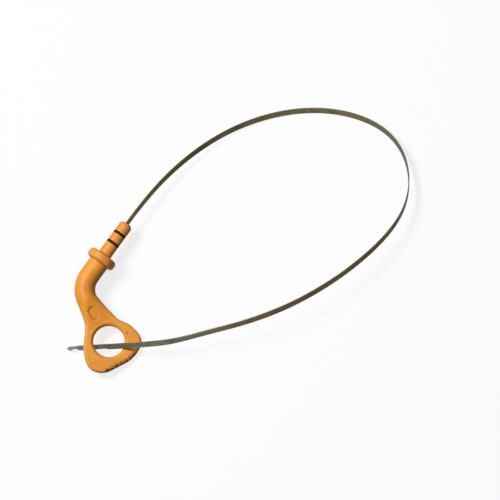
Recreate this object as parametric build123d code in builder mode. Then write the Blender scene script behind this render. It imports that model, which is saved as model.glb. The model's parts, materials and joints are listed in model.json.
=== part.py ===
from build123d import *
import os
from math import atan2, copysign, cos, pi, radians, sin, tan

os.makedirs("parts", exist_ok=True)

# All sizes are millimetres and degrees.
# The pieces are drawn in the handle's own frame: X runs along the plug towards the blade,
# Y lies across it in the plane of the finger ring, Z stands up from the face of the ring.
# At the end they are turned together to lie on the floor as the real one comes to rest.

# Plug and flange
plug_diameter = 9.6
plug_length = 27.3
plug_lead = 2.0
plug_lead_depth = 1.5
flange_diameter = 21.2
flange_thickness = 6.2
flange_chamfer = 1.3

# O-rings
o_ring_width = 1.7
o_ring_height = 1.6
o_ring_proud = 0.15
o_ring_slope = 0.45
groove_side_gap = 0.10
upper_o_ring_from_end = 9.0
o_ring_spacing = 8.0

# Neck, from the flange round the bend and down to the ring
neck_radius = 7.4
neck_step = 0.12
neck_bend_angle = 63.2
neck_bend_radius = 17.0
bend_from_seat = 28.2
neck_foot_width = 23.4
neck_foot_height = 12.0
neck_foot_squareness = 4.0
neck_lean = 0.8
neck_outline_points = 12

# Finger ring, seen along its own axis with the neck at the top
ring_reach = 42.9
ring_thickness = 5.6
ring_half_width = 21.0
ring_foot = 18.8
foot_flat_left = 8.0
foot_flat_right = 3.0
right_corner_width = 18.2
right_corner_height = 5.8
right_side_height = 13.3
left_corner_width = 18.3
left_corner_height = 4.3
left_side_height = 11.8
ring_shoulder_width = 17.5
ring_shoulder_height = 5.2
ring_shoulder_round = 2.5
ring_waist_width = 8.9
ring_waist_height = 19.0
left_waist_hollow = 0.3
right_waist_hollow = 0.8
ring_edge_round = 2.0
ring_under_chamfer = 1.2
finger_hole_diameter = 22.0
finger_hole_chamfer = 1.6

# Small moulded details
grip_nick_count = 7
grip_nick_pitch = 3.7
grip_nick_start = -3.7
grip_nick_side = 1.5
grip_nick_length = 6.0
recess_length = 10.0
recess_width = 6.6
recess_depth = 0.4
recess_across = -0.8
recess_run_out_angle = 5.5
gate_mark_diameter = 2.6
gate_mark_depth = 0.3
gate_mark_from_centre = 14.2
gate_mark_angle = -5.0

# Blade
blade_width = 5.4
blade_thickness = 0.7
root_length = 19.0
root_hole_diameter = 2.2
root_hole_from_end = 4.0
stand_tilt_angle = 29.0
stand_heading_angle = 35.6
loop_reach = 150.0
loop_breadth = 154.0
loop_rise = 57.0
loop_sections = 36

# Where the blade goes through the finger hole, over one side of the ring and under the other
thread_across = -2.2
thread_along = -2.9
thread_heading_angle = 124.5
thread_clearance = 1.1
thread_run_in = 18.0
tip_start = 25.0
tip_twist_length = 4.0
tip_twist_angle = -75.0
tip_twist_sections = 8
tip_length = 4.8
tip_width = 4.4
tip_shoulder_share = 0.80
tip_point_share = 0.05
tip_belly_share = 0.45
reading_step_depth = 1.0
reading_step_start = 1.5

# How the whole thing lies: turned about X, then about Y, then about the upright
rest_roll_angle = 17.53
rest_pitch_angle = 5.02
rest_heading_angle = 54.0

# Sizes that follow from those above
plug_radius = plug_diameter / 2
o_ring_outer_radius = plug_radius + o_ring_proud
o_ring_inner_radius = o_ring_outer_radius - o_ring_height
groove_width = o_ring_width + 2 * groove_side_gap
upper_o_ring_at = plug_length - upper_o_ring_from_end
lower_o_ring_at = upper_o_ring_at - o_ring_spacing
bend_corner = Vector(-bend_from_seat, 0, 0)
bend_setback = neck_bend_radius * tan(radians(neck_bend_angle / 2))
bend_start = Vector(bend_setback - bend_from_seat, 0, 0)
bend_hub = bend_start - Vector(0, neck_bend_radius, 0)
bend_end_height = ring_reach - bend_setback
ring_half_thickness = ring_thickness / 2
ring_up = Vector(cos(radians(neck_bend_angle)), sin(radians(neck_bend_angle)), 0)
ring_across = Vector(sin(radians(neck_bend_angle)), -cos(radians(neck_bend_angle)), 0)
ring_centre = bend_corner - ring_up * ring_reach
ring_plane = Plane(origin=ring_centre, x_dir=ring_across, z_dir=(0, 0, 1))
same_place = ring_thickness / 1000
finger_hole_radius = finger_hole_diameter / 2

# The blade stands up along one direction all round its loop
stand = Vector(
    sin(radians(stand_tilt_angle)) * cos(radians(stand_heading_angle)),
    sin(radians(stand_tilt_angle)) * sin(radians(stand_heading_angle)),
    cos(radians(stand_tilt_angle)),
)


def strip_plane(place: Vector, along: Vector, twist: float = 0.0) -> Plane:
    """Give the section plane of the blade: X through its thickness, Y across its width."""
    run = along.normalized()
    wide = (stand - run * stand.dot(run)).normalized()
    wide = wide * cos(radians(twist)) + run.cross(wide) * sin(radians(twist))
    return Plane(origin=place, x_dir=wide.cross(run), z_dir=run)


# The line of the blade through the hole is steep enough to clear both sides of the ring
thread_rise = ring_half_thickness + blade_width / 2 + thread_clearance
thread_dir = Vector(
    finger_hole_radius * cos(radians(thread_heading_angle)),
    finger_hole_radius * sin(radians(thread_heading_angle)),
    -thread_rise,
).normalized()
thread_point = ring_plane.from_local_coords((thread_across, thread_along, 0))
loop_start = Vector(plug_length, 0, 0)
loop_end = thread_point - thread_dir * thread_run_in


def loop_point(reach: float, breadth: float, rise: float) -> Vector:
    """Give a point of the loop as shares of its reach, breadth and rise."""
    return Vector(plug_length + reach * loop_reach, -breadth * loop_breadth, rise * loop_rise)


with BuildLine() as blade_line:
    blade_curve = Spline(
        loop_start,
        loop_point(0.30, 0.022, 0.016),
        loop_point(0.587, 0.112, 0.091),
        loop_point(0.827, 0.279, 0.24),
        loop_point(0.989, 0.522, 0.475),
        loop_point(0.999, 0.807, 0.775),
        loop_point(0.786, 1.00, 1.009),
        loop_point(0.488, 0.998, 1.044),
        loop_point(0.205, 0.903, 0.965),
        loop_point(-0.049, 0.752, 0.807),
        loop_point(-0.274, 0.5575, 0.526),
        loop_end,
        tangents=[(1, 0, 0), thread_dir],
    )

# The root of the blade, moulded into the plug, with the hole that the plastic runs through
root_plane = strip_plane(loop_start, Vector(1, 0, 0))
with BuildPart() as blade_root:
    with BuildSketch(root_plane):
        Rectangle(blade_thickness, blade_width)
    extrude(amount=-root_length)
    hole_at = root_plane.from_local_coords((0, 0, root_hole_from_end - root_length))
    with BuildSketch(Plane(origin=hole_at, x_dir=root_plane.y_dir, z_dir=root_plane.x_dir)):
        Circle(root_hole_diameter / 2)
    extrude(amount=blade_thickness, both=True, mode=Mode.SUBTRACT)

with BuildPart() as blade_loop:
    for step in range(loop_sections + 1):
        share = step / loop_sections
        with BuildSketch(strip_plane(blade_curve @ share, blade_curve % share)):
            Rectangle(blade_thickness, blade_width)
    loft()

# The straight end that goes through the ring, with the step of the reading part
with BuildPart() as blade_end:
    with BuildSketch(strip_plane(loop_end, thread_dir)):
        Rectangle(blade_thickness, blade_width)
    extrude(amount=thread_run_in + tip_start)
    step_length = tip_start - reading_step_start
    step_at = thread_point + thread_dir * (reading_step_start + step_length / 2)
    with Locations(strip_plane(step_at, thread_dir).location):
        with Locations((0, -blade_width / 2, 0)):
            Box(2 * blade_thickness, 2 * reading_step_depth, step_length, mode=Mode.SUBTRACT)

# The twist and the flat pointed tip, on the middle line of the narrower reading part
reading_width = blade_width - reading_step_depth
reading_middle = thread_point + strip_plane(thread_point, thread_dir).y_dir * (reading_step_depth / 2)
with BuildPart() as blade_tip:
    for step in range(tip_twist_sections + 1):
        share = step / tip_twist_sections
        place = reading_middle + thread_dir * (tip_start + tip_twist_length * share)
        width = reading_width + (tip_width - reading_width) * share
        with BuildSketch(strip_plane(place, thread_dir, tip_twist_angle * share)):
            Rectangle(blade_thickness, width)
    loft()
    tip_plane = strip_plane(place, thread_dir, tip_twist_angle)
    with BuildSketch(Plane(origin=place, x_dir=thread_dir, z_dir=tip_plane.x_dir)):
        with BuildLine():
            Polyline(
                (0, tip_width / 2),
                (tip_length * tip_shoulder_share, tip_width / 2),
                (tip_length, tip_width * tip_point_share),
                (tip_length * tip_belly_share, -tip_width / 2),
                (0, -tip_width / 2),
                close=True,
            )
        make_face()
    extrude(amount=blade_thickness / 2, both=True)

with BuildPart() as blade_body:
    add(blade_root.part)
    add(blade_loop.part)
    add(blade_end.part)
    add(blade_tip.part)


def on_lower_neck(share: float) -> Vector:
    """Give the middle of the neck at a share of its way from the bend to its foot."""
    height = bend_end_height + (neck_foot_height - bend_end_height) * share
    return ring_plane.from_local_coords((neck_lean * share, height, 0))


def neck_half_height(flatten: float) -> float:
    """Give half the neck's height, from round at 0 to the thickness of the ring at 1."""
    return neck_radius + (ring_half_thickness - neck_radius) * flatten


def neck_outline(widen: float, flatten: float) -> list:
    """Give points round a neck section, from a circle at 0 and 0 to a wide, square one at 1 and 1."""
    half_width = neck_radius + (neck_foot_width / 2 - neck_radius) * widen
    power = 2 / (2 + (neck_foot_squareness - 2) * flatten)
    points = []
    for step in range(neck_outline_points):
        turn = 2 * pi * step / neck_outline_points
        x = copysign(abs(cos(turn)) ** power, cos(turn))
        y = copysign(abs(sin(turn)) ** power, sin(turn))
        points.append((half_width * x, neck_half_height(flatten) * y))
    return points


# The upper neck: a round bar out of the flange, and its bend. They are a touch thinner than the lower neck,
# which meets them in a clean step.
flange_middle = Vector(-flange_thickness / 2, 0, 0)
with BuildPart() as upper_neck:
    with BuildSketch(Plane(origin=flange_middle, z_dir=(-1, 0, 0))):
        Circle(neck_radius - neck_step)
    extrude(amount=flange_middle.X - bend_start.X)
    with BuildSketch(Plane(origin=bend_start, z_dir=(-1, 0, 0))):
        Circle(neck_radius - neck_step)
    revolve(axis=Axis(bend_hub, (0, 0, 1)), revolution_arc=neck_bend_angle)

# The lower neck spreads and flattens from the round bar into the flat ring.
# Each section has its share of the way and its shares of widening and flattening.
above_recess = 0.25
at_recess = 0.50
below_recess = 0.75
flatten_above = 0.30
flatten_at = 0.64
flatten_below = 0.89
lower_neck_sections = [
    (0, 0, 0),
    (above_recess, 0.16, flatten_above),
    (at_recess, 0.38, flatten_at),
    (below_recess, 0.70, flatten_below),
    (1, 1.0, 1.04),
]
with BuildPart() as lower_neck:
    for share, widen, flatten in lower_neck_sections:
        with BuildSketch(Plane(origin=on_lower_neck(share), x_dir=ring_across, z_dir=ring_up * -1)):
            with BuildLine():
                Spline(*neck_outline(widen, flatten), periodic=True)
            make_face()
    loft()

# The flat ring, with one lower corner fuller than the other
waist_middle_width = (ring_shoulder_width + ring_waist_width) / 2
waist_middle_height = (ring_shoulder_height + ring_waist_height) / 2
with BuildPart() as ring:
    with BuildSketch(ring_plane):
        with BuildLine():
            foot = Line((-foot_flat_left, -ring_foot), (foot_flat_right, -ring_foot))
            right_foot = TangentArc(
                foot @ 1, (right_corner_width, right_corner_height - ring_foot), tangent=(1, 0)
            )
            right_corner = TangentArc(
                right_foot @ 1, (ring_half_width, right_side_height - ring_foot), tangent=right_foot % 1
            )
            right_side = TangentArc(
                right_corner @ 1, (ring_shoulder_width, ring_shoulder_height), tangent=right_corner % 1
            )
            right_waist = (ring_waist_width, ring_waist_height)
            right_hollow = (waist_middle_width - right_waist_hollow, waist_middle_height)
            ThreePointArc(right_side @ 1, right_hollow, right_waist)
            left_foot = TangentArc(
                foot @ 0, (-left_corner_width, left_corner_height - ring_foot), tangent=(-1, 0)
            )
            left_corner = TangentArc(
                left_foot @ 1, (-ring_half_width, left_side_height - ring_foot), tangent=left_foot % 1
            )
            left_side = TangentArc(
                left_corner @ 1, (-ring_shoulder_width, ring_shoulder_height), tangent=left_corner % 1
            )
            left_waist = (-ring_waist_width, ring_waist_height)
            left_hollow = (left_waist_hollow - waist_middle_width, waist_middle_height)
            ThreePointArc(left_side @ 1, left_hollow, left_waist)
            Line(left_waist, right_waist)
        make_face()
        fillet([v for v in vertices() if abs(v.Y - ring_shoulder_height) < same_place], ring_shoulder_round)
    extrude(amount=ring_half_thickness, both=True)
    # The upper rim is rounded and the lower one broken, all but the edge of each that the neck covers
    toward_neck = Axis(ring_centre, ring_up)
    fillet(ring.edges().group_by(Axis.Z)[-1].sort_by(toward_neck)[:-1], ring_edge_round)
    chamfer(ring.edges().group_by(Axis.Z)[0].sort_by(toward_neck)[:-1], ring_under_chamfer)
    # Finger hole with broken edges
    with BuildSketch(ring_plane):
        Circle(finger_hole_radius)
    extrude(amount=ring_thickness, both=True, mode=Mode.SUBTRACT)
    hole_edges = ring.edges().filter_by(GeomType.CIRCLE)
    chamfer([e for e in hole_edges if abs(e.radius - finger_hole_radius) < same_place], finger_hole_chamfer)
    # Grip nicks across the upper edge of the foot
    foot_run = Wire([left_foot, foot, right_foot])
    round_inset = ring_edge_round * (1 - cos(radians(45)))
    for step in range(grip_nick_count):
        at = left_foot.length + grip_nick_start + step * grip_nick_pitch
        spot = foot_run.position_at(at, position_mode=PositionMode.LENGTH)
        tangent = foot_run.tangent_at(at, position_mode=PositionMode.LENGTH)
        outward = Vector(tangent.Y, -tangent.X, 0)
        nick_place = spot - outward * round_inset + Vector(0, 0, ring_half_thickness - round_inset)
        nick_plane = Plane(
            origin=ring_plane.from_local_coords(nick_place),
            x_dir=ring_across * tangent.X + ring_up * tangent.Y,
            z_dir=ring_across * outward.X + ring_up * outward.Y - Vector(0, 0, 1),
        )
        with Locations(nick_plane.location):
            Box(grip_nick_side, grip_nick_side, grip_nick_length, rotation=(0, 0, 45), mode=Mode.SUBTRACT)

# The face of the neck slopes down to the ring. The shallow recess follows it, and runs out to one side.
face_run = (bend_end_height - neck_foot_height) * (below_recess - above_recess)
face_fall = neck_half_height(flatten_above) - neck_half_height(flatten_below)
face_slope = atan2(face_fall, face_run)
recess_middle = on_lower_neck(at_recess) + ring_across * recess_across
recess_floor = recess_middle + Vector(0, 0, neck_half_height(flatten_at) - recess_depth)
face_normal = Vector(0, 0, 1) * cos(face_slope) - ring_up * sin(face_slope)
run_out = radians(recess_run_out_angle)
recess_normal = face_normal * cos(run_out) - ring_across * sin(run_out)
recess_across_floor = ring_across * cos(run_out) + face_normal * sin(run_out)
gate_mark_turn = radians(gate_mark_angle)

with BuildPart() as handle_body:
    add(ring.part)
    add(upper_neck.part)
    add(lower_neck.part)
    # Plug and flange, turned about the plug axis
    with BuildSketch(Plane.XY):
        with BuildLine():
            Polyline(
                (-flange_thickness, 0),
                (-flange_thickness, flange_diameter / 2),
                (0, flange_diameter / 2),
                (0, plug_radius),
                (plug_length - plug_lead, plug_radius),
                (plug_length, plug_radius - plug_lead_depth),
                (plug_length, 0),
                close=True,
            )
        make_face()
        chamfer(vertices().group_by(Axis.Y)[-1], flange_chamfer)
    revolve(axis=Axis.X)
    # O-ring grooves
    with BuildSketch(Plane.XY):
        for place in (upper_o_ring_at, lower_o_ring_at):
            with Locations((place, o_ring_inner_radius)):
                Rectangle(groove_width, 2 * o_ring_height, align=(Align.CENTER, Align.MIN))
    revolve(axis=Axis.X, mode=Mode.SUBTRACT)
    # Shallow recess on the face of the neck
    with BuildSketch(Plane(origin=recess_floor, x_dir=recess_across_floor, z_dir=recess_normal)):
        SlotOverall(recess_length, recess_width, rotation=90)
    extrude(amount=recess_width, mode=Mode.SUBTRACT)
    # Gate mark on the face of the ring
    with Locations(ring_plane.location):
        with Locations((
            gate_mark_from_centre * cos(gate_mark_turn),
            gate_mark_from_centre * sin(gate_mark_turn),
            ring_half_thickness,
        )):
            Cylinder(gate_mark_diameter / 2, 2 * gate_mark_depth, mode=Mode.SUBTRACT)
    # The plug is moulded round the root of the blade
    add(blade_root.part, mode=Mode.SUBTRACT)


# O-rings, pressed square into their grooves, with a crown that slopes off to both sides
with BuildPart() as upper_o_ring_body:
    with BuildSketch(Plane(origin=(upper_o_ring_at, 0, 0))):
        with BuildLine():
            Polyline(
                (-o_ring_width / 2, o_ring_inner_radius),
                (o_ring_width / 2, o_ring_inner_radius),
                (o_ring_width / 2, o_ring_outer_radius - o_ring_slope),
                (0, o_ring_outer_radius),
                (-o_ring_width / 2, o_ring_outer_radius - o_ring_slope),
                close=True,
            )
        make_face()
    revolve(axis=Axis.X)

with BuildPart() as lower_o_ring_body:
    with Locations((-o_ring_spacing, 0, 0)):
        add(upper_o_ring_body.part)

# Lay the pieces down: turn them all, then bring their common box over the origin and onto the floor
rest_turn = Location((0, 0, 0), (0, 0, rest_heading_angle))
rest_turn *= Location((0, 0, 0), (0, rest_pitch_angle, 0))
rest_turn *= Location((0, 0, 0), (rest_roll_angle, 0, 0))
handle_box = handle_body.part.moved(rest_turn).bounding_box()
blade_box = blade_body.part.moved(rest_turn).bounding_box()
rest = Location((
    -(min(handle_box.min.X, blade_box.min.X) + max(handle_box.max.X, blade_box.max.X)) / 2,
    -(min(handle_box.min.Y, blade_box.min.Y) + max(handle_box.max.Y, blade_box.max.Y)) / 2,
    -min(handle_box.min.Z, blade_box.min.Z),
)) * rest_turn

with BuildPart() as handle:
    with Locations(rest):
        add(handle_body.part)
handle.part.label = "handle"
export_step(handle.part, "parts/handle.step")

with BuildPart() as o_ring_upper:
    with Locations(rest):
        add(upper_o_ring_body.part)
o_ring_upper.part.label = "o_ring_upper"
export_step(o_ring_upper.part, "parts/o_ring_upper.step")

with BuildPart() as o_ring_lower:
    with Locations(rest):
        add(lower_o_ring_body.part)
o_ring_lower.part.label = "o_ring_lower"
export_step(o_ring_lower.part, "parts/o_ring_lower.step")

with BuildPart() as blade:
    with Locations(rest):
        add(blade_body.part)
blade.part.label = "blade"
export_step(blade.part, "parts/blade.step")
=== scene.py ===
"""Looks of an engine oil dipstick: a moulded orange handle, two rubber seals and a long steel blade.

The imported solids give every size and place. The blade is swept again along the line that is read from
its solid, the seals are turned again in their grooves, and the handle is softened as a moulding is.
"""

import json
import logging
import math
from dataclasses import dataclass, field
from enum import Enum
from typing import Any, Optional, Union

import bpy
import bmesh
import numpy as np
from mathutils import Matrix, Vector
from mathutils.kdtree import KDTree


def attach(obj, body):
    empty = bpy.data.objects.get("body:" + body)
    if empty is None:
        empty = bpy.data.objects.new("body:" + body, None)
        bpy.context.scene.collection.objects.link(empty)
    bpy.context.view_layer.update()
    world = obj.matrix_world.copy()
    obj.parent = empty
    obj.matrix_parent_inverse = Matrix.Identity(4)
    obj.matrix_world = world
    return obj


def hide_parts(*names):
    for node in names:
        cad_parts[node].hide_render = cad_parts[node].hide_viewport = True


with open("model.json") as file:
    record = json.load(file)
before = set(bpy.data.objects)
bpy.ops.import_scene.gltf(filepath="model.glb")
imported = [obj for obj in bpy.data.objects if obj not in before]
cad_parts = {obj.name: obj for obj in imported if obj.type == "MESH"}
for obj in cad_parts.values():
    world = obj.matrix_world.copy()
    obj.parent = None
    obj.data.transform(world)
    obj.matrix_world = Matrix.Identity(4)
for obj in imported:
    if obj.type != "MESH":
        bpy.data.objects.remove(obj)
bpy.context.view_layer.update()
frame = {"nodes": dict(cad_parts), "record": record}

log = logging.getLogger("dipstick")

MM = 0.001
ROOT_BODY = "root"

Colour = tuple[float, float, float]
Span = tuple[float, float]
Number = Union[float, "Field"]


class Slot(Enum):
    """The record's material slots."""

    HANDLE = "handle_plastic"
    SEAL = "seal_rubber"
    BLADE = "blade_steel"


class Mark(Enum):
    """Names of the mesh attributes that the finishes read."""

    ALONG = "along"
    ACROSS = "across"
    CREASE = "crease"
    NICK_SHADE = "grime"
    MIDDLE = "middle"
    WIDE = "wide"
    FLAT = "flat"
    SHARE = "width_share"
    PROFILE = "profile"


def linear(red: int, green: int, blue: int) -> Colour:
    """Turn a screen colour into the linear one that shaders use.

    Args:
        red: Red, from 0 to 255.
        green: Green, from 0 to 255.
        blue: Blue, from 0 to 255.

    Returns:
        The same colour as linear numbers from 0 to 1.
    """
    def one(level: int) -> float:
        share = level / 255
        return share / 12.92 if share <= 0.04045 else ((share + 0.055) / 1.055) ** 2.4

    return one(red), one(green), one(blue)


class Field:
    """A value socket of a node tree that takes part in Python arithmetic."""

    def __init__(self, sheet: "NodeSheet", socket: bpy.types.NodeSocket) -> None:
        """Keep the socket and the sheet that its Math nodes go on."""
        self.sheet = sheet
        self.socket = socket

    def _math(self, operation: str, first: Number, second: Number) -> "Field":
        """Add one Math node and give its result."""
        return self.sheet.node("ShaderNodeMath", {"operation": operation}, {0: first, 1: second})

    def __add__(self, other: Number) -> "Field":
        """Add a value."""
        return self._math("ADD", self, other)

    __radd__ = __add__

    def __sub__(self, other: Number) -> "Field":
        """Take a value away."""
        return self._math("SUBTRACT", self, other)

    def __rsub__(self, other: Number) -> "Field":
        """Take this away from a value."""
        return self._math("SUBTRACT", other, self)

    def __mul__(self, other: Number) -> "Field":
        """Multiply by a value."""
        return self._math("MULTIPLY", self, other)

    __rmul__ = __mul__

    def __truediv__(self, other: Number) -> "Field":
        """Divide by a value."""
        return self._math("DIVIDE", self, other)

    def ramp(self, low: float, high: float) -> "Field":
        """Give 0 below low and 1 above high, with a smooth step between.

        Args:
            low: Where the step starts.
            high: Where the step ends.

        Returns:
            The step as a value from 0 to 1.
        """
        settings = {"interpolation_type": "SMOOTHSTEP"}
        sockets = {"Value": self, "From Min": low, "From Max": high}
        return self.sheet.node("ShaderNodeMapRange", settings, sockets)


class NodeSheet:
    """A node tree: one method adds any node, and two short ones add what is needed most."""

    def __init__(self, tree: bpy.types.NodeTree) -> None:
        """Keep the tree."""
        self.tree = tree

    def node(
        self, kind: str, settings: Optional[dict[str, Any]] = None,
        sockets: Optional[dict[Any, Any]] = None, out: Union[int, str] = 0,
    ) -> Field:
        """Add a node, set it up and link it.

        Args:
            kind: The node's type.
            settings: Properties that are set before the sockets, and a ramp's stops under "stops".
            sockets: Values or links for its inputs, by name or by number.
            out: The output to give back.

        Returns:
            The chosen output.
        """
        made = self.tree.nodes.new(kind)
        for name, value in (settings or {}).items():
            if name == "stops":
                self._set_stops(made.color_ramp, value)
            else:
                setattr(made, name, value)
        for name, value in (sockets or {}).items():
            socket = made.inputs[name]
            if isinstance(value, Field):
                self.tree.links.new(value.socket, socket)
            elif socket.type == "RGBA":
                socket.default_value = (*value, 1.0)
            else:
                socket.default_value = value
        return Field(self, made.outputs[out] if made.outputs else None)

    @staticmethod
    def _set_stops(ramp: bpy.types.ColorRamp, stops: list[tuple[float, Colour]]) -> None:
        """Give a ramp its places and colours."""
        while len(ramp.elements) < len(stops):
            ramp.elements.new(1.0)
        for element, (place, colour) in zip(ramp.elements, stops):
            element.position = place
            element.color = (*colour, 1.0)

    def mix(self, factor: Number, first: Any, second: Any) -> Field:
        """Mix two colours.

        Args:
            factor: The share of the second colour.
            first: The first colour, as a link or three numbers.
            second: The second colour, as a link or three numbers.

        Returns:
            The mixed colour.
        """
        return self.node("ShaderNodeMix", {"data_type": "RGBA"}, {0: factor, 6: first, 7: second}, 2)

    def mark(self, name: Mark) -> Field:
        """Read a mesh attribute in a material."""
        return self.node("ShaderNodeAttribute", {"attribute_name": name.value}, {}, "Fac")


class Finish:
    """The base of every finish: a named material with one Principled shader."""

    name: str = "finish"

    def material(self) -> bpy.types.Material:
        """Make the material.

        Returns:
            The new material.
        """
        made = bpy.data.materials.new(self.name)
        made.use_nodes = True
        made.node_tree.nodes.clear()
        sheet = NodeSheet(made.node_tree)
        shader = sheet.node("ShaderNodeBsdfPrincipled", {}, self.sockets(sheet))
        sheet.node("ShaderNodeOutputMaterial", {}, {"Surface": shader})
        return made

    def sockets(self, sheet: NodeSheet) -> dict[str, Any]:
        """Give the values and links of the Principled shader."""
        raise NotImplementedError

    @staticmethod
    def place(sheet: NodeSheet) -> Field:
        """Give the object's own coordinates, in metres."""
        return sheet.node("ShaderNodeTexCoord", {}, {}, "Object")

    @staticmethod
    def noise(sheet: NodeSheet, where: Field, size: float, layers: float = 2.0) -> Field:
        """Give soft noise from 0 to 1.

        Args:
            sheet: The material's nodes.
            where: The coordinates.
            size: About how far apart its spots are, in metres.
            layers: How many finer layers it has.

        Returns:
            The noise as a value.
        """
        return sheet.node("ShaderNodeTexNoise", {}, {"Vector": where, "Scale": 1 / size, "Detail": layers})

    @staticmethod
    def bump(sheet: NodeSheet, height: Field, depth: float) -> Field:
        """Give a normal for a height.

        Args:
            sheet: The material's nodes.
            height: The height, from 0 to 1.
            depth: How deep 1 is, in metres.

        Returns:
            The bumped normal.
        """
        return sheet.node("ShaderNodeBump", {}, {"Height": height, "Distance": depth, "Strength": 1.0})


@dataclass(frozen=True)
class HandlePlastic(Finish):
    """Orange moulded plastic with dirty pits, painted shade in its creases and along the rim round its grip
    nicks, and a painted highlight with wear on its edges.

    A span is where a smooth step starts and ends. A share is how much of a colour is laid on.
    """

    name: str = "handle_plastic"
    body: Colour = linear(238, 157, 56)
    deep: Colour = linear(229, 144, 44)
    # Paler colour on convex edges: a painted highlight, and wear.
    edge_sheen_and_wear: Colour = linear(240, 174, 96)
    # Painted shade colour for the band along the rim round the grip nicks.
    nick_shade_colour: Colour = linear(142, 72, 18)
    # Dirt colour in pits, and painted shade in creases.
    pit_dirt_and_crease_shade: Colour = linear(146, 86, 24)
    cloud_size: float = 11 * MM
    cloud_layers: float = 3.0
    cloud_span: Span = (0.35, 0.70)
    mottle_size: float = 1.9 * MM
    mottle_layers: float = 3.0
    mottle_span: Span = (0.36, 0.58)
    speck_size: float = 0.9 * MM
    speck_span: Span = (0.64, 0.74)
    speck_share: float = 0.22
    edge_span: Span = (0.58, 0.90)
    edge_share: float = 0.15
    edge_speck_share: float = 0.35
    nick_shade_span: Span = (0.10, 0.65)
    nick_shade_share: float = 0.40
    nick_shade_mottle_share: float = 0.60
    hollow_span: Span = (0.54, 0.76)
    hollow_share: float = 0.32
    hollow_cloud_share: float = 0.36
    grain_size: float = 0.35 * MM
    grain_depth: float = 0.012 * MM
    roughness: float = 0.44
    roughness_spread: float = 0.14
    hollow_roughness: float = 0.08
    specular: float = 0.25

    def sockets(self, sheet: NodeSheet) -> dict[str, Any]:
        """Give the values and links of the Principled shader."""
        where = self.place(sheet)
        cloud = self.noise(sheet, where, self.cloud_size, self.cloud_layers)
        mottle = self.noise(sheet, where, self.mottle_size, self.mottle_layers)
        speck = self.noise(sheet, where, self.speck_size)
        grain = self.noise(sheet, where, self.grain_size)
        crease = sheet.mark(Mark.CREASE)
        # Painted shade: a band along the rim round the grip nicks, mottled by noise.
        grime = sheet.mark(Mark.NICK_SHADE)
        hollow = crease.ramp(*self.hollow_span) * (1 - grime)
        edge = (1 - crease).ramp(*self.edge_span)
        # Convex edges get a painted highlight together with wear.
        sheen_and_wear = edge * (self.edge_share + self.edge_speck_share * speck)
        pits = speck.ramp(*self.speck_span) * self.speck_share
        nick_shade_amount = self.nick_shade_share + self.nick_shade_mottle_share * mottle.ramp(*self.mottle_span)
        # Painted shade laid into the creases.
        crease_shade = hollow * (self.hollow_share + self.hollow_cloud_share * cloud)
        colour = sheet.mix(cloud.ramp(*self.cloud_span), self.body, self.deep)
        colour = sheet.mix(sheen_and_wear, colour, self.edge_sheen_and_wear)
        colour = sheet.mix(pits, colour, self.pit_dirt_and_crease_shade)
        colour = sheet.mix(grime.ramp(*self.nick_shade_span) * nick_shade_amount, colour, self.nick_shade_colour)
        colour = sheet.mix(crease_shade, colour, self.pit_dirt_and_crease_shade)
        uneven = self.roughness_spread * (speck - 0.5) + self.hollow_roughness * hollow
        return {
            "Base Color": colour,
            "Roughness": self.roughness + uneven,
            "Specular IOR Level": self.specular,
            "Normal": self.bump(sheet, grain, self.grain_depth),
        }


@dataclass(frozen=True)
class SealRubber(Finish):
    """Black sealing rubber with a thin film of oil."""

    name: str = "seal_rubber"
    body: Colour = linear(44, 22, 6)
    dusty: Colour = linear(70, 36, 10)
    patch_size: float = 2.2 * MM
    patch_layers: float = 3.0
    dust_span: Span = (0.45, 0.75)
    grain_size: float = 0.22 * MM
    grain_depth: float = 0.010 * MM
    roughness: float = 0.46
    roughness_spread: float = 0.22
    specular: float = 0.12

    def sockets(self, sheet: NodeSheet) -> dict[str, Any]:
        """Give the values and links of the Principled shader."""
        where = self.place(sheet)
        patch = self.noise(sheet, where, self.patch_size, self.patch_layers)
        grain = self.noise(sheet, where, self.grain_size)
        return {
            "Base Color": sheet.mix(patch.ramp(*self.dust_span), self.body, self.dusty),
            "Roughness": self.roughness + self.roughness_spread * patch,
            "Specular IOR Level": self.specular,
            "Normal": self.bump(sheet, grain, self.grain_depth),
        }


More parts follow.
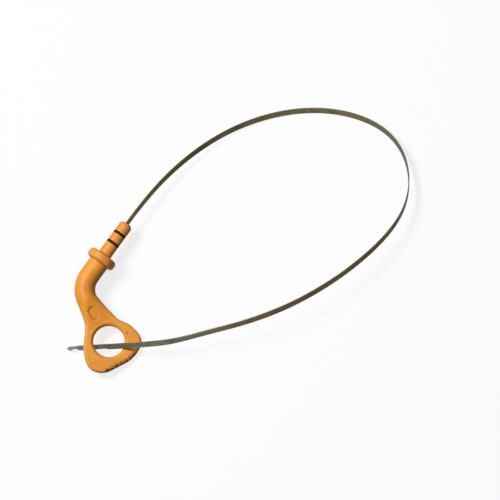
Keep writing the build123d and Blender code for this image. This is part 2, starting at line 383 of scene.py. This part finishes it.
@dataclass(frozen=True)
class BladeSteel(Finish):
    """Rolled spring steel whose colour changes along its length, from brown near its root to pale grey at
    its tip.

    A span is where a smooth step starts and ends. A share is how much of a colour is laid on.
    The worn spans are places along the blade, with its root at 0 and its tip at 1.
    """

    name: str = "blade_steel"
    root: Colour = linear(118, 102, 64)
    upper: Colour = linear(82, 72, 42)
    crown: Colour = linear(124, 117, 84)
    far: Colour = linear(110, 112, 92)
    under: Colour = linear(106, 91, 54)
    lower: Colour = linear(128, 117, 80)
    wiped: Colour = linear(128, 128, 114)
    tip: Colour = linear(154, 154, 148)
    bright: Colour = linear(152, 146, 118)
    scorch: Colour = linear(62, 50, 24)
    edge: Colour = linear(72, 64, 42)
    worn_edge: Colour = linear(188, 184, 166)
    edge_span: Span = (2.45 * MM, 2.68 * MM)
    edge_share: float = 0.60
    worn_start: Span = (0.72, 0.77)
    worn_end: Span = (0.81, 0.86)
    worn_share: float = 0.35
    streak_size: float = 0.34 * MM
    streaks_along: float = 28.18
    streak_layers: float = 3.0
    streak_span: Span = (0.46, 0.72)
    streak_share: float = 0.42
    patch_size: float = 7 * MM
    patch_layers: float = 4.0
    patch_span: Span = (0.46, 0.72)
    patch_share: float = 0.36
    spot_size: float = 0.8 * MM
    spot_span: Span = (0.60, 0.72)
    spot_share: float = 0.40
    grain_depth: float = 0.02 * MM
    metallic: float = 0.70
    patch_dulling: float = 0.25
    roughness: float = 0.38
    patch_roughness: float = 0.16
    streak_roughness: float = 0.10
    specular: float = 0.2
    grazing_tint: Colour = (0.35, 0.32, 0.22)

    def sockets(self, sheet: NodeSheet) -> dict[str, Any]:
        """Give the values and links of the Principled shader."""
        along = sheet.mark(Mark.ALONG)
        across = sheet.mark(Mark.ACROSS)
        where = self.place(sheet)
        strip = sheet.node("ShaderNodeCombineXYZ", {}, {
            "X": along * self.streaks_along, "Y": across / self.streak_size, "Z": 0.0,
        })
        streak = self.noise(sheet, strip, 1.0, self.streak_layers)
        patch = self.noise(sheet, where, self.patch_size, self.patch_layers)
        spot = self.noise(sheet, where, self.spot_size)
        colour = sheet.node("ShaderNodeValToRGB", {"stops": self.stops()}, {"Fac": along})
        colour = sheet.mix(patch.ramp(*self.patch_span) * self.patch_share, colour, self.scorch)
        colour = sheet.mix(spot.ramp(*self.spot_span) * self.spot_share, colour, self.scorch)
        colour = sheet.mix(streak.ramp(*self.streak_span) * self.streak_share, colour, self.bright)
        either_side = sheet.node("ShaderNodeMath", {"operation": "ABSOLUTE"}, {0: across})
        worn = along.ramp(*self.worn_start) * (1 - along.ramp(*self.worn_end))
        edge = sheet.mix(worn, self.edge, self.worn_edge)
        at_edge = either_side.ramp(*self.edge_span) * (self.edge_share + self.worn_share * worn)
        colour = sheet.mix(at_edge, colour, edge)
        return {
            "Base Color": colour,
            "Metallic": self.metallic - self.patch_dulling * patch,
            "Roughness": self.roughness + self.patch_roughness * patch + self.streak_roughness * streak,
            "Specular IOR Level": self.specular,
            "Specular Tint": self.grazing_tint,
            "Normal": self.bump(sheet, streak, self.grain_depth),
        }

    def stops(self) -> list[tuple[float, Colour]]:
        """Give the colours along the blade, with its root at 0 and its tip at 1.

        Returns:
            Each colour's place and value.
        """
        return [
            (0.0, self.root), (0.06, self.root), (0.14, self.upper), (0.30, self.crown), (0.38, self.crown),
            (0.45, self.far), (0.50, self.far), (0.56, self.under), (0.70, self.under), (0.77, self.lower),
            (0.85, self.wiped), (0.97, self.wiped), (0.985, self.tip),
        ]


class MeshTools:
    """Small helpers that put meshes into the scene."""

    @staticmethod
    def weld(mesh: bpy.types.Mesh, gap: float = 0.0005 * MM, outward: bool = True) -> None:
        """Merge vertices that lie together.

        Args:
            mesh: The mesh, which is changed.
            gap: How far apart they may lie.
            outward: Whether every face is turned outwards as well.
        """
        work = bmesh.new()
        work.from_mesh(mesh)
        bmesh.ops.remove_doubles(work, verts=work.verts, dist=gap)
        if outward:
            bmesh.ops.recalc_face_normals(work, faces=work.faces)
        work.to_mesh(mesh)
        work.free()

    @staticmethod
    def add(name: str, mesh: bpy.types.Mesh) -> bpy.types.Object:
        """Link a mesh into the scene as a new object at the origin."""
        made = bpy.data.objects.new(name, mesh)
        bpy.context.scene.collection.objects.link(made)
        return made

    @staticmethod
    def freeze(piece: bpy.types.Object) -> bpy.types.Object:
        """Turn what the modifiers give into the piece's own plain mesh.

        Args:
            piece: The object with its modifiers.

        Returns:
            The same object, with no modifier left.
        """
        bpy.context.view_layer.update()
        graph = bpy.context.evaluated_depsgraph_get()
        mesh = bpy.data.meshes.new_from_object(piece.evaluated_get(graph), depsgraph=graph)
        piece.modifiers.clear()
        piece.data = mesh
        mesh.name = piece.name
        return piece

    @staticmethod
    def points(mesh: bpy.types.Mesh) -> np.ndarray:
        """Give a mesh's vertices as rows of three numbers."""
        flat = np.zeros(len(mesh.vertices) * 3)
        mesh.vertices.foreach_get("co", flat)
        return flat.reshape(-1, 3)

    @staticmethod
    def mark(mesh: bpy.types.Mesh, name: Mark, values: np.ndarray) -> None:
        """Keep a number, or a vector, on every vertex of a mesh.

        Args:
            mesh: The mesh.
            name: The attribute's name.
            values: One row for each vertex.
        """
        vector = values.ndim == 2
        made = mesh.attributes.new(name.value, "FLOAT_VECTOR" if vector else "FLOAT", "POINT")
        made.data.foreach_set("vector" if vector else "value", values.astype(np.float32).ravel())


class Neighbours:
    """Which vertices of a mesh share an edge, for averages over neighbours."""

    def __init__(self, mesh: bpy.types.Mesh) -> None:
        """Take the mesh's edges."""
        ends = np.zeros(len(mesh.edges) * 2, dtype=np.int64)
        mesh.edges.foreach_get("vertices", ends)
        self.first, self.second = ends.reshape(-1, 2).T
        self.size = len(mesh.vertices)
        self.count = np.bincount(ends, minlength=self.size)

    def mean(self, values: np.ndarray) -> np.ndarray:
        """Average the neighbours of every vertex.

        Args:
            values: One number, or one row, for each vertex.

        Returns:
            The averages, in the same form.
        """
        if values.ndim == 2:
            return np.stack([self.mean(column) for column in values.T], axis=1)
        total = np.bincount(self.first, values[self.second], self.size)
        total += np.bincount(self.second, values[self.first], self.size)
        return total / self.count

    def blurred(self, values: np.ndarray, rounds: int) -> np.ndarray:
        """Blur values over the surface.

        Args:
            values: One number, or one row, for each vertex.
            rounds: How often each vertex takes half of its neighbours' mean.

        Returns:
            The blurred values.
        """
        for _ in range(rounds):
            values = (values + self.mean(values)) / 2
        return values


class NodeShape:
    """A Geometry Nodes tree that is built with named inputs and run once."""

    def __init__(self, name: str) -> None:
        """Start an empty tree with a mesh going in and a mesh coming out."""
        self.tree = bpy.data.node_groups.new(name, "GeometryNodeTree")
        self.tree.is_modifier = True
        self.sheet = NodeSheet(self.tree)
        self.inputs: dict[str, tuple[str, Any]] = {}
        self.tree.interface.new_socket("Geometry", in_out="INPUT", socket_type="NodeSocketGeometry")
        self.tree.interface.new_socket("Geometry", in_out="OUTPUT", socket_type="NodeSocketGeometry")

    def geometry(self) -> Field:
        """Give the mesh that goes in."""
        return self.sheet.node("NodeGroupInput", {}, {}, "Geometry")

    def input(self, name: str, kind: str, value: Any) -> Field:
        """Add a named input.

        Args:
            name: What the input is called.
            kind: Its socket type, such as Float, Vector, Int or Material.
            value: The value that the modifier is given.

        Returns:
            The input inside the tree.
        """
        socket = self.tree.interface.new_socket(name, in_out="INPUT", socket_type="NodeSocket" + kind)
        self.inputs[name] = (socket.identifier, value)
        return self.sheet.node("NodeGroupInput", {}, {}, name)

    def named(self, mark: Mark, kind: str = "FLOAT") -> Field:
        """Read a mesh attribute."""
        sockets = {"Name": mark.value}
        return self.sheet.node("GeometryNodeInputNamedAttribute", {"data_type": kind}, sockets, "Attribute")

    def store(self, shape: Field, mark: Mark, value: Field, kind: str = "FLOAT") -> Field:
        """Keep a value on every point of a shape."""
        settings = {"data_type": kind, "domain": "POINT"}
        sockets = {"Geometry": shape, "Name": mark.value, "Value": value}
        return self.sheet.node("GeometryNodeStoreNamedAttribute", settings, sockets)

    def close(self, shape: Field, material: Field) -> None:
        """End the tree: smooth shading, real geometry and its material.

        Args:
            shape: The finished shape.
            material: The material input.
        """
        shape = self.sheet.node("GeometryNodeSetShadeSmooth", {}, {"Geometry": shape, "Shade Smooth": True})
        shape = self.sheet.node("GeometryNodeRealizeInstances", {}, {"Geometry": shape})
        shape = self.sheet.node("GeometryNodeSetMaterial", {}, {"Geometry": shape, "Material": material})
        self.sheet.node("NodeGroupOutput", {}, {"Geometry": shape})

    def run(self, piece: bpy.types.Object) -> bpy.types.Object:
        """Run the tree on an object and keep the result as its plain mesh.

        Args:
            piece: The object that holds what goes in.

        Returns:
            The same object, with the result as its mesh.
        """
        modifier = piece.modifiers.new("shape", "NODES")
        modifier.node_group = self.tree
        for identifier, value in self.inputs.values():
            modifier[identifier] = value
        return MeshTools.freeze(piece)


@dataclass(frozen=True)
class Section:
    """One cut across the blade."""

    centre: np.ndarray
    run: np.ndarray
    wide: np.ndarray
    width: float
    thickness: float


@dataclass
class BladeReader:
    """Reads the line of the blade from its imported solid, by cutting it across again and again."""

    mesh: bpy.types.Mesh
    fan_cuts: int = 720
    reach: float = 9 * MM
    near_reach: float = 36 * MM
    look_ahead: float = 3 * MM
    least_area: float = 0.001 * MM * MM
    corners: np.ndarray = field(init=False)
    middles: np.ndarray = field(init=False)
    hub: np.ndarray = field(init=False)

    def __post_init__(self) -> None:
        """Take the solid's triangles, and the middle of the loop as the hub of the first cuts."""
        self.mesh.calc_loop_triangles()
        order = np.zeros(len(self.mesh.loop_triangles) * 3, dtype=np.int64)
        self.mesh.loop_triangles.foreach_get("vertices", order)
        places = MeshTools.points(self.mesh)
        self.corners = places[order].reshape(-1, 3, 3)
        self.middles = self.corners.mean(1)
        self.hub = (places.min(0) + places.max(0)) / 2

    def cut(self, place: np.ndarray, normal: np.ndarray, keep: np.ndarray) -> Optional[Section]:
        """Cut the solid with a plane and measure the cut.

        Args:
            place: A point of the plane.
            normal: The plane's direction.
            keep: Which triangles count.

        Returns:
            The cut's middle, long direction and sizes, or nothing where the plane misses.
        """
        corners = self.corners[keep]
        height = (corners - place) @ normal
        crossing = (height.min(1) < 0) & (height.max(1) >= 0)
        corners, height = corners[crossing], height[crossing]
        if len(corners) < 3:
            return None
        ends = np.zeros((2, len(corners), 3))
        for first, second in ((0, 1), (1, 2), (2, 0)):
            low, high = height[:, first], height[:, second]
            share = (low / np.where(low == high, 1.0, low - high))[:, None]
            spot = corners[:, first] + (corners[:, second] - corners[:, first]) * share
            rising, falling = (low < 0) & (high >= 0), (low >= 0) & (high < 0)
            ends[0][rising] = spot[rising]
            ends[1][falling] = spot[falling]
        side = np.cross(normal, (0.0, 0.0, 1.0))
        side /= np.linalg.norm(side)
        rise = np.cross(side, normal)
        origin = ends[0].mean(0)
        px, qx = (ends - origin) @ side
        py, qy = (ends - origin) @ rise
        return self._measure(px, py, qx, qy, origin, side, rise)

    def _measure(
        self, px: np.ndarray, py: np.ndarray, qx: np.ndarray, qy: np.ndarray,
        origin: np.ndarray, side: np.ndarray, rise: np.ndarray,
    ) -> Optional[Section]:
        """Work out the area moments of an outline that is given by its edges.

        Args:
            px: Where each edge starts, to the side.
            py: Where each edge starts, upwards.
            qx: Where each edge ends, to the side.
            qy: Where each edge ends, upwards.
            origin: The point that those are measured from.
            side: The side direction.
            rise: The upward direction.

        Returns:
            The cut, or nothing where it has no area.
        """
        turn = px * qy - qx * py
        area = turn.sum() / 2
        if abs(area) < self.least_area:
            return None
        x = ((px + qx) * turn).sum() / 6 / area
        y = ((py + qy) * turn).sum() / 6 / area
        xx = ((px * px + px * qx + qx * qx) * turn).sum() / 12 / area - x * x
        yy = ((py * py + py * qy + qy * qy) * turn).sum() / 12 / area - y * y
        xy = ((px * qy + 2 * px * py + 2 * qx * qy + qx * py) * turn).sum() / 24 / area - x * y
        spread, axes = np.linalg.eigh(np.array([[xx, xy], [xy, yy]]))
        thickness, width = np.sqrt(12 * np.maximum(spread, 0.0))
        wide = side * axes[0, 1] + rise * axes[1, 1]
        if wide[2] < 0:
            wide = -wide
        centre = origin + side * x + rise * y
        return Section(centre, np.cross(rise, side), wide, float(width), float(thickness))

    def fan_line(self) -> np.ndarray:
        """Give a first line of the blade from upright cuts that fan out from the hub.

        Returns:
            Points along the blade, from its root to its tip.
        """
        arms = self.middles - self.hub
        turns = np.sort(np.arctan2(arms[:, 1], arms[:, 0]))
        gaps = np.diff(np.append(turns, turns[0] + 2 * math.pi))
        widest = int(np.argmax(gaps))
        last_turn = turns[widest]
        sweep = 2 * math.pi - gaps[widest]
        points = []
        for step in range(self.fan_cuts):
            turn = last_turn - sweep * (step + 0.5) / self.fan_cuts
            out = np.array((math.cos(turn), math.sin(turn), 0.0))
            normal = np.array((-math.sin(turn), math.cos(turn), 0.0))
            section = self.cut(self.hub, normal, arms @ out > 0)
            if section is not None:
                points.append(section.centre)
        return np.array(points)

    def sections(self, spacing: float, end_spacing: float, end_length: float) -> list[Section]:
        """Cut the blade square across its line, closer together near its tip.

        Args:
            spacing: The distance from cut to cut.
            end_spacing: That distance near the tip.
            end_length: How long the part near the tip is.

        Returns:
            The cuts, from the root to the tip.
        """
        line = self.fan_line()
        travel = np.append(0.0, np.cumsum(np.linalg.norm(np.diff(line, axis=0), axis=1)))
        end_start = travel[-1] - end_length
        stations = np.append(
            np.arange(-self.reach, end_start, spacing),
            np.arange(end_start, travel[-1] + self.reach, end_spacing),
        )
        found = []
        for station in stations:
            inside = np.clip(station, self.look_ahead, travel[-1] - self.look_ahead)
            ahead, behind = (
                np.array([np.interp(inside + step, travel, line[:, k]) for k in range(3)])
                for step in (self.look_ahead, -self.look_ahead)
            )
            run = (ahead - behind) / np.linalg.norm(ahead - behind)
            place = (ahead + behind) / 2 + run * (station - inside)
            near = np.linalg.norm(self.middles - place, axis=1) < self.near_reach
            section = self.cut(place, run, near)
            if section is not None and np.linalg.norm(section.centre - place) < self.reach:
                found.append(section)
        return found


@dataclass
class Blade:
    """The steel strip: one long loop, a step near its end and a twisted tip."""

    node: str = "blade"
    name: str = "blade_strip"
    spacing: float = 1.2 * MM
    end_spacing: float = 0.35 * MM
    end_length: float = 45 * MM
    even_reach: int = 3
    edge_round: float = 0.20 * MM
    edge_points: int = 4
    profile_step: float = 0.16 * MM
    finish: BladeSteel = BladeSteel()

    def build(self) -> bpy.types.Object:
        """Sweep the strip along the line of its solid.

        Returns:
            The finished piece.
        """
        reader = BladeReader(frame["nodes"][self.node].data)
        cuts = reader.sections(self.spacing, self.end_spacing, self.end_length)
        centres = np.array([cut.centre for cut in cuts])
        run = np.array([cut.run for cut in cuts])
        wide = np.array([cut.wide for cut in cuts])
        travel = np.append(0.0, np.cumsum(np.linalg.norm(np.diff(centres, axis=0), axis=1)))
        for step in range(1, len(wide)):
            if wide[step] @ wide[step - 1] < 0:
                wide[step] = -wide[step]
        loop = int(np.searchsorted(travel, travel[-1] - self.end_length))
        centres, run, wide = (self._evened(rows, loop) for rows in (centres, run, wide))
        width = float(np.median([cut.width for cut in cuts]))
        thickness = float(np.median([cut.thickness for cut in cuts]))
        line = bpy.data.meshes.new(self.name)
        line.from_pydata([tuple(c) for c in centres], [(i, i + 1) for i in range(len(centres) - 1)], [])
        MeshTools.mark(line, Mark.WIDE, wide)
        MeshTools.mark(line, Mark.FLAT, np.cross(wide, run))
        MeshTools.mark(line, Mark.SHARE, np.array([cut.width for cut in cuts]) / width)
        MeshTools.mark(line, Mark.ALONG, travel / travel[-1])
        piece = self._shape(width, thickness).run(MeshTools.add(self.name, line))
        log.info("%s: %d cuts, %.2f by %.2f mm", self.name, len(cuts), width / MM, thickness / MM)
        return self._fit(piece)

    def _evened(self, rows: np.ndarray, loop: int) -> np.ndarray:
        """Average what was read with its neighbours along the loop, and leave the blade's two ends as read.

        Args:
            rows: One row for each cut.
            loop: The number of cuts before the end of the blade.

        Returns:
            The evened rows.
        """
        even = rows.copy()
        for step in range(self.even_reach, loop - self.even_reach):
            even[step] = rows[step - self.even_reach:step + self.even_reach + 1].mean(0)
        return even

    def _shape(self, width: float, thickness: float) -> NodeShape:
        """Make the tree that lays the rounded section of the strip along its line.

        Args:
            width: The strip's width.
            thickness: The strip's thickness.

        Returns:
            The tree.
        """
        shape = NodeShape("strip_along_line")
        sheet = shape.sheet
        wide_in = shape.input("Width", "Float", width)
        thick_in = shape.input("Thickness", "Float", thickness)
        round_in = shape.input("Edge Round", "Float", self.edge_round)
        step_in = shape.input("Profile Step", "Float", self.profile_step)
        steel = shape.input("Material", "Material", self.finish.material())
        outline = sheet.node(
            "GeometryNodeCurvePrimitiveQuadrilateral", {"mode": "RECTANGLE"},
            {"Width": wide_in, "Height": thick_in},
        )
        outline = sheet.node(
            "GeometryNodeFilletCurve", {"mode": "POLY"},
            {"Curve": outline, "Radius": round_in, "Limit Radius": True, "Count": self.edge_points},
        )
        outline = sheet.node(
            "GeometryNodeResampleCurve", {"mode": "LENGTH"}, {"Curve": outline, "Length": step_in},
        )
        position = sheet.node("GeometryNodeInputPosition")
        outline = shape.store(outline, Mark.PROFILE, position, "FLOAT_VECTOR")
        path = sheet.node("GeometryNodeMeshToCurve", {}, {"Mesh": shape.geometry()})
        path = shape.store(path, Mark.MIDDLE, position, "FLOAT_VECTOR")
        strip = sheet.node(
            "GeometryNodeCurveToMesh", {},
            {"Curve": path, "Profile Curve": outline, "Fill Caps": True},
        )
        profile = shape.named(Mark.PROFILE, "FLOAT_VECTOR")
        across = sheet.node("ShaderNodeSeparateXYZ", {}, {"Vector": profile}, "X")
        through = sheet.node("ShaderNodeSeparateXYZ", {}, {"Vector": profile}, "Y")
        spread = across * shape.named(Mark.SHARE)
        sideways = sheet.node(
            "ShaderNodeVectorMath", {"operation": "SCALE"},
            {"Vector": shape.named(Mark.WIDE, "FLOAT_VECTOR"), "Scale": spread},
        )
        outward = sheet.node(
            "ShaderNodeVectorMath", {"operation": "SCALE"},
            {"Vector": shape.named(Mark.FLAT, "FLOAT_VECTOR"), "Scale": through},
        )
        place = sheet.node("ShaderNodeVectorMath", {"operation": "ADD"}, {0: sideways, 1: outward})
        place = sheet.node(
            "ShaderNodeVectorMath", {"operation": "ADD"},
            {0: place, 1: shape.named(Mark.MIDDLE, "FLOAT_VECTOR")},
        )
        strip = sheet.node("GeometryNodeSetPosition", {}, {"Geometry": strip, "Position": place})
        strip = shape.store(strip, Mark.ACROSS, across)
        shape.close(strip, steel)
        return shape

    def _fit(self, piece: bpy.types.Object) -> bpy.types.Object:
        """Turn the faces outwards and put the piece in place of its solid."""
        MeshTools.weld(piece.data)
        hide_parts(self.node)
        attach(piece, ROOT_BODY)
        return piece


@dataclass
class Seal:
    """A rubber ring, pressed into its groove round the plug."""

    node: str
    name: str
    turns: int = 120
    section_points: int = 28

    def build(self, axis: Vector, material: bpy.types.Material) -> bpy.types.Object:
        """Turn the ring about the plug's axis.

        Args:
            axis: The plug's direction.
            material: The rubber.

        Returns:
            The finished piece.
        """
        places = MeshTools.points(frame["nodes"][self.node].data)
        middle = (places.min(0) + places.max(0)) / 2
        direction = np.array(axis)
        along = (places - middle) @ direction
        away = np.linalg.norm((places - middle) - np.outer(along, direction), axis=1)
        shape = NodeShape("ring_in_groove")
        sheet = shape.sheet
        radius_in = shape.input("Middle Radius", "Float", float(away.max() + away.min()) / 2)
        height_in = shape.input("Height", "Float", float(away.max() - away.min()))
        width_in = shape.input("Width", "Float", float(np.ptp(along)))
        place_in = shape.input("Place", "Vector", tuple(middle))
        turn_in = shape.input("Turn", "Rotation", axis.to_track_quat("Z", "Y").to_euler())
        rubber = shape.input("Material", "Material", material)
        section = sheet.node(
            "GeometryNodeCurvePrimitiveCircle", {"mode": "RADIUS"},
            {"Resolution": self.section_points, "Radius": 0.5},
        )
        size = sheet.node("ShaderNodeCombineXYZ", {}, {"X": height_in, "Y": width_in, "Z": 1.0})
        section = sheet.node("GeometryNodeTransform", {}, {"Geometry": section, "Scale": size})
        circle = sheet.node(
            "GeometryNodeCurvePrimitiveCircle", {"mode": "RADIUS"},
            {"Resolution": self.turns, "Radius": radius_in},
        )
        ring = sheet.node("GeometryNodeCurveToMesh", {}, {"Curve": circle, "Profile Curve": section})
        ring = sheet.node(
            "GeometryNodeTransform", {},
            {"Geometry": ring, "Translation": place_in, "Rotation": turn_in},
        )
        shape.close(ring, rubber)
        piece = shape.run(MeshTools.add(self.name, bpy.data.meshes.new(self.name)))
        MeshTools.weld(piece.data)
        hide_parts(self.node)
        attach(piece, ROOT_BODY)
        log.info("%s: %d faces", self.name, len(piece.data.polygons))
        return piece


@dataclass
class Handle:
    """The moulded handle: plug, flange, bent neck and finger ring in one piece."""

    node: str = "handle"
    name: str = "handle_moulding"
    weld_gap: float = 0.001 * MM
    voxel: float = 0.31 * MM
    soften_rounds: int = 5
    soften_share: float = 0.5
    even_rounds: int = 30
    even_limit: float = 0.05 * MM
    even_pushes: Span = (0.50, -0.53)
    crease_rounds: int = 34
    crease_depth: float = 0.24 * MM
    nick_crease: float = 0.90
    nick_far: float = 0.80
    nick_shade_reach: float = 3.0 * MM
    finish: HandlePlastic = HandlePlastic()

    def build(self, seat: Vector) -> bpy.types.Object:
        """Soften the solid's edges as a moulding's are.

        Args:
            seat: The middle of the flange's seat.

        Returns:
            The finished piece.
        """
        mesh = frame["nodes"][self.node].data.copy()
        MeshTools.weld(mesh, self.weld_gap, outward=False)
        piece = MeshTools.add(self.name, mesh)
        even = piece.modifiers.new("even", "REMESH")
        even.mode = "VOXEL"
        even.voxel_size = self.voxel
        even.use_smooth_shade = True
        soft = piece.modifiers.new("soft", "SMOOTH")
        soft.factor = self.soften_share
        soft.iterations = self.soften_rounds
        MeshTools.freeze(piece)
        mesh = piece.data
        near = Neighbours(mesh)
        self._even(mesh, near)
        rise = self._rise(mesh, near, self.crease_rounds) / self.crease_depth
        crease = np.clip((1.0 + rise) / 2, 0.0, 1.0)
        MeshTools.mark(mesh, Mark.CREASE, crease)
        # The painted shade round the grip nicks goes where this value is high.
        MeshTools.mark(mesh, Mark.NICK_SHADE, self._nick_shade(mesh, crease, seat))
        mesh.materials.clear()
        mesh.materials.append(self.finish.material())
        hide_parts(self.node)
        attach(piece, ROOT_BODY)
        log.info("%s: %d faces", self.name, len(mesh.polygons))
        return piece

    def _even(self, mesh: bpy.types.Mesh, near: Neighbours) -> None:
        """Even out flat and gently curved faces, and leave edges, nicks and marks as they are.

        Args:
            mesh: The softened mesh, which is changed.
            near: Its neighbours.
        """
        places = MeshTools.points(mesh)
        share = np.exp(-(self._rise(mesh, near, self.soften_rounds) / self.even_limit) ** 2)
        share = near.blurred(share, self.soften_rounds)[:, None]
        for _ in range(self.even_rounds):
            for push in self.even_pushes:
                places += push * share * (near.mean(places) - places)
        mesh.vertices.foreach_set("co", places.ravel())
        mesh.update()

    def _nick_shade(self, mesh: bpy.types.Mesh, crease: np.ndarray, seat: Vector) -> np.ndarray:
        """Say how near every vertex lies to a grip nick, for the painted shade along the rim there.

        The nicks are the sharp creases at the far end of the finger ring.

        Args:
            mesh: The mesh.
            crease: How creased it is at every vertex.
            seat: The middle of the flange's seat.

        Returns:
            1 in a nick, down to 0 at the reach of the painted shade.
        """
        places = MeshTools.points(mesh)
        away = np.linalg.norm(places - np.array(seat), axis=1)
        nicks = places[(crease > self.nick_crease) & (away > self.nick_far * away.max())]
        grime = np.zeros(len(places))
        if len(nicks) > 0:
            tree = KDTree(len(nicks))
            for number, nick in enumerate(nicks):
                tree.insert(nick, number)
            tree.balance()
            gap = np.array([tree.find(place)[2] for place in places])
            grime = np.clip(1.0 - gap / self.nick_shade_reach, 0.0, 1.0)
        log.info("%s: %d points in grip nicks", self.name, len(nicks))
        return grime

    @staticmethod
    def _rise(mesh: bpy.types.Mesh, near: Neighbours, rounds: int) -> np.ndarray:
        """Say how far a blurred surface lies above the real one.

        Args:
            mesh: The mesh.
            near: Its neighbours.
            rounds: How much it is blurred.

        Returns:
            The rise at every vertex: above 0 in a crease, below 0 on an edge.
        """
        places = MeshTools.points(mesh)
        normals = np.zeros(len(places) * 3)
        mesh.vertices.foreach_get("normal", normals)
        return ((near.blurred(places, rounds) - places) * normals.reshape(-1, 3)).sum(1)


@dataclass
class Studio:
    """The floor, the lights and the camera."""

    floor_half: float = 6.0
    floor_shade: Colour = (0.90, 0.90, 0.90)
    floor_bounce: Colour = (0.08, 0.08, 0.08)
    floor_glow: float = 0.82
    ambient: float = 0.04
    key_power: float = 25.5
    key_size: float = 0.6
    key_from: Vector = Vector((-0.88, 0.58, 1.18))
    fill_power: float = 1.0
    fill_size: float = 1.6
    fill_from: Vector = Vector((0.2, 0.1, 1.7))
    azimuth: float = 48.0
    elevation: float = 67.5
    roll: float = -50.5
    distance: float = 4.0
    far_clip: float = 100.0
    sensor: float = 36.0
    picture_pixels: float = 500.0
    pixel_size: float = 0.70 * MM
    seat_pixel: tuple[float, float] = (104.3, 255.3)

    def build(self, seat: Vector) -> None:
        """Make the floor, the lights and the camera.

        Args:
            seat: The middle of the flange's seat, which has a known place in the picture.
        """
        self._floor()
        self._world()
        view = self._camera(seat)
        self._lamp("key_light", view @ self.key_from, self.key_size, self.key_power)
        self._lamp("fill_light", view @ self.fill_from, self.fill_size, self.fill_power)

    def _camera(self, seat: Vector) -> Matrix:
        """Look from the picture's angle, with the seat at its pixel.

        Args:
            seat: The middle of the flange's seat.

        Returns:
            The camera's turn, with its right, up and back directions as columns.
        """
        turn = Matrix.Rotation(math.radians(self.azimuth), 3, "Z")
        turn @= Matrix.Rotation(math.radians(90 - self.elevation), 3, "X")
        turn @= Matrix.Rotation(math.radians(self.roll), 3, "Z")
        across = (self.picture_pixels / 2 - self.seat_pixel[0]) * self.pixel_size
        up = (self.seat_pixel[1] - self.picture_pixels / 2) * self.pixel_size
        target = seat + turn @ Vector((across, up, 0.0))
        data = bpy.data.cameras.new("camera")
        data.sensor_width = self.sensor
        data.lens = self.sensor * self.distance / (self.picture_pixels * self.pixel_size)
        data.clip_end = self.far_clip
        camera = bpy.data.objects.new("camera", data)
        place = target + turn @ Vector((0.0, 0.0, self.distance))
        camera.matrix_world = Matrix.Translation(place) @ turn.to_4x4()
        bpy.context.scene.collection.objects.link(camera)
        bpy.context.scene.camera = camera
        return turn

    @staticmethod
    def _lamp(name: str, place: Vector, size: float, power: float) -> None:
        """Hang a square lamp that faces the middle of the floor."""
        data = bpy.data.lights.new(name, "AREA")
        data.size = size
        data.energy = power
        lamp = bpy.data.objects.new(name, data)
        lamp.location = place
        lamp.rotation_mode = "QUATERNION"
        lamp.rotation_quaternion = (-place).to_track_quat("-Z", "Y")
        bpy.context.scene.collection.objects.link(lamp)

    @staticmethod
    def _seen(sheet: NodeSheet) -> Field:
        """Give 1 for rays that show the background, in the picture, in metal or through glass."""
        camera, glossy, transmission = (
            sheet.node("ShaderNodeLightPath", {}, {}, f"Is {ray} Ray")
            for ray in ("Camera", "Glossy", "Transmission")
        )
        return (camera + glossy + transmission).ramp(0.0, 1.0)

    def _floor(self) -> None:
        """Lay a pale floor that glows a little where it is seen, and keeps the shadow."""
        work = bmesh.new()
        bmesh.ops.create_grid(work, x_segments=1, y_segments=1, size=self.floor_half)
        mesh = bpy.data.meshes.new("floor")
        work.to_mesh(mesh)
        work.free()
        floor = MeshTools.add("floor", mesh)
        material = bpy.data.materials.new("floor_paper")
        material.use_nodes = True
        material.node_tree.nodes.clear()
        sheet = NodeSheet(material.node_tree)
        bounce = sheet.node("ShaderNodeBsdfDiffuse", {}, {"Color": self.floor_bounce})
        paper = sheet.node("ShaderNodeBsdfDiffuse", {}, {"Color": self.floor_shade})
        glow = sheet.node("ShaderNodeEmission", {}, {"Strength": 1.0})
        shown = sheet.node("ShaderNodeMixShader", {}, {0: self.floor_glow, 1: paper, 2: glow})
        both = sheet.node("ShaderNodeMixShader", {}, {0: self._seen(sheet), 1: bounce, 2: shown})
        sheet.node("ShaderNodeOutputMaterial", {}, {"Surface": both})
        mesh.materials.append(material)

    def _world(self) -> None:
        """Put soft light all round, with a white background where it is seen."""
        world = bpy.data.worlds.new("studio")
        world.use_nodes = True
        world.node_tree.nodes.clear()
        sheet = NodeSheet(world.node_tree)
        strength = self.ambient + (1.0 - self.ambient) * self._seen(sheet)
        sky = sheet.node("ShaderNodeBackground", {}, {"Color": (1.0, 1.0, 1.0), "Strength": strength})
        sheet.node("ShaderNodeOutputWorld", {}, {"Surface": sky})
        bpy.context.scene.world = world


def plug_mount() -> tuple[Vector, Vector]:
    """Read the plug's place from the record.

    Returns:
        The middle of the flange's seat, and the plug's direction.
    """
    mount = next(m for m in frame["record"]["mounts"] if m["name"] == "plug")
    axis = Vector(mount["axis"]).normalized()
    seat = Vector(mount["pos_m"]) - axis * (mount["dims"]["length_mm"] * MM / 2)
    return seat, axis


def main() -> None:
    """Build the pieces and the studio."""
    logging.basicConfig(level=logging.INFO, format="%(name)s: %(message)s")
    bpy.context.scene.view_settings.view_transform = "Standard"
    seat, axis = plug_mount()
    Handle().build(seat)
    rubber = SealRubber().material()
    for place in ("upper", "lower"):
        Seal(node=f"o_ring_{place}", name=f"seal_{place}").build(axis, rubber)
    Blade().build()
    Studio().build(seat)


if __name__ == "__main__":
    main()
